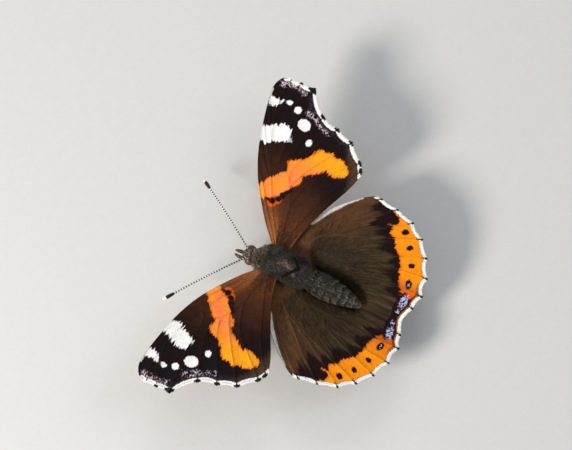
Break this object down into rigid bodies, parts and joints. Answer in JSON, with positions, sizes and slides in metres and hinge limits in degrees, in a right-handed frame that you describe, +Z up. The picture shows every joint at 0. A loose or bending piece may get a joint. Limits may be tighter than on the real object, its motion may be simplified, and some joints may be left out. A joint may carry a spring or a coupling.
{
  "type": "red admiral butterfly",
  "caption": "Life-size butterfly standing with its wings spread: black wings with orange bands, a furry thorax and clubbed antennae.",
  "frame": {"origin": "on the surface that the feet stand on, under the middle of the outline", "axes": "+Z up, +X to the butterfly's left and across the spread wings, -Y to the front"},
  "size_m": [0.0626, 0.0452, 0.0127],
  "materials": {
    "fur": "short dark olive-grey fur with a slight sheen",
    "abdomen_scales": "overlapping greenish-grey scales with paler edges",
    "forewing_scales": "matte black-brown wing scales with an orange band and white spots",
    "hindwing_scales": "matte dark brown wing scales with an orange margin and black dots",
    "antenna": "black ringed with white, with a cream tip",
    "eye": "dark orange-brown, finely faceted",
    "palp_scales": "grey-brown scales and short hairs",
    "leg_scales": "fawn scales over brown horn",
    "horn": "dark brown horn"
  },
  "bodies": {
    "root": {"head": "fur", "prothorax": "fur", "mesothorax": "fur", "metathorax": "fur", "abdomen": "abdomen_scales", "proboscis": "horn", "forewing_left": "forewing_scales", "hindwing_left": "hindwing_scales", "antenna_left": "antenna", "eye_left": "eye", "palp_left": "palp_scales", "foreleg_left": "leg_scales", "midleg_left": "leg_scales", "hindleg_left": "leg_scales", "forewing_right": "forewing_scales", "hindwing_right": "hindwing_scales", "antenna_right": "antenna", "eye_right": "eye", "palp_right": "palp_scales", "foreleg_right": "leg_scales", "midleg_right": "leg_scales", "hindleg_right": "leg_scales"}
  },
  "joints": []
}
